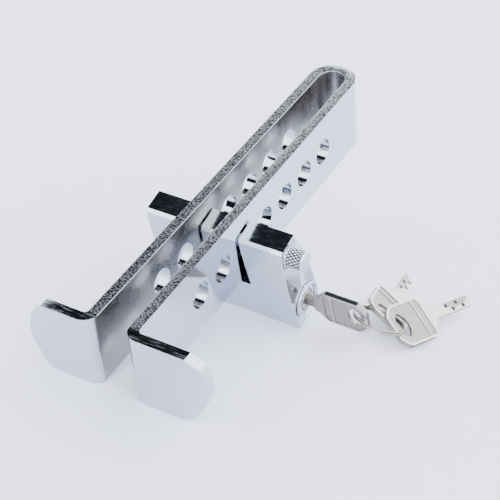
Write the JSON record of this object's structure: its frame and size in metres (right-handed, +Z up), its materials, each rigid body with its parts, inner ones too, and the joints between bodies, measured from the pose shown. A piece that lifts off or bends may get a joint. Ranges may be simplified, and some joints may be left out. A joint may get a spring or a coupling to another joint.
{
  "type": "keyed pedal lock",
  "caption": "Keyed lock for a car pedal: a bent steel strap with hooked ends, and a lock body pinned across its legs, with a key cylinder, keys and a split ring",
  "frame": {"origin": "middle of the bottom of the overall box, on the surface that the lock rests on", "axes": "+Y from the hooks to the bend of the strap, +X along the locking pin towards its knob, +Z up"},
  "size_m": [0.1358, 0.2084, 0.0971],
  "materials": {
    "chrome": "bright chrome plating on steel",
    "nickel": "nickel plated brass, fine lines",
    "brass": "turned brass",
    "steel": "plain hardened steel"
  },
  "bodies": {
    "strap": {"u_strap": "chrome"},
    "lock_body": {"lock_body": "chrome", "latch_pocket_plug": "steel", "cylinder_housing": "chrome", "housing_retaining_pin": "steel", "pin_chamber_cover": "brass", "driver_pin_1": "brass", "driver_pin_2": "brass", "driver_pin_3": "brass", "driver_pin_4": "brass", "pin_spring_1": "steel", "pin_spring_2": "steel", "pin_spring_3": "steel", "pin_spring_4": "steel"},
    "locking_pin": {"locking_pin": "chrome"},
    "latch": {"latch_bolt": "steel"},
    "plug": {"cylinder_plug": "nickel", "cylinder_cam": "steel", "cam_cross_pin": "steel", "key_pin_1": "brass", "key_pin_2": "brass", "key_pin_3": "brass", "key_pin_4": "brass"},
    "key_1": {"key_1": "nickel"},
    "ring": {"split_ring": "nickel"},
    "key_2": {"key_2": "nickel"},
    "key_3": {"key_3": "nickel"}
  },
  "joints": [
    {"name": "body_rock", "type": "hinge", "parent": "strap", "child": "lock_body", "pos_m": [-0.02706, -0.01466, 0.0456], "axis": [1, 0, 0], "range_deg": [-32.7, 0]},
    {"name": "pin_slide", "type": "slide", "parent": "lock_body", "child": "locking_pin", "axis": [1, 0, 0], "range_m": [0, 0.034]},
    {"name": "plug_turn", "type": "hinge", "parent": "lock_body", "child": "plug", "pos_m": [-0.02706, 0.00868, 0.01453], "axis": [1, 0, 0], "range_deg": [0, 90]},
    {"name": "latch_slide", "type": "slide", "parent": "lock_body", "child": "latch", "axis": [0, -0.4996, 0.8663], "range_m": [0, 0.00424]},
    {"name": "key_slide", "type": "slide", "parent": "plug", "child": "key_1", "axis": [1, 0, 0], "range_m": [0, 0.0265]},
    {"name": "ring_swing", "type": "hinge", "parent": "key_1", "child": "ring", "pos_m": [0.03349, 0.00868, 0.01453], "axis": [0.7354, -0.6774, 0.0169], "range_deg": [-4, 8]},
    {"name": "key_2_swing", "type": "hinge", "parent": "ring", "child": "key_2", "pos_m": [0.04011, 0.02934, 0.00933], "axis": [-0.9805, -0.0876, 0.176], "range_deg": [-5, 5]},
    {"name": "key_3_swing", "type": "hinge", "parent": "ring", "child": "key_3", "pos_m": [0.05055, 0.02513, 0.00848], "axis": [-0.6612, 0.749, -0.0432], "range_deg": [-5, 5]}
  ],
  "couplings": [
    {"joint": "latch_slide", "follows": "plug_turn", "m_per_rad": 0.002701}
  ]
}
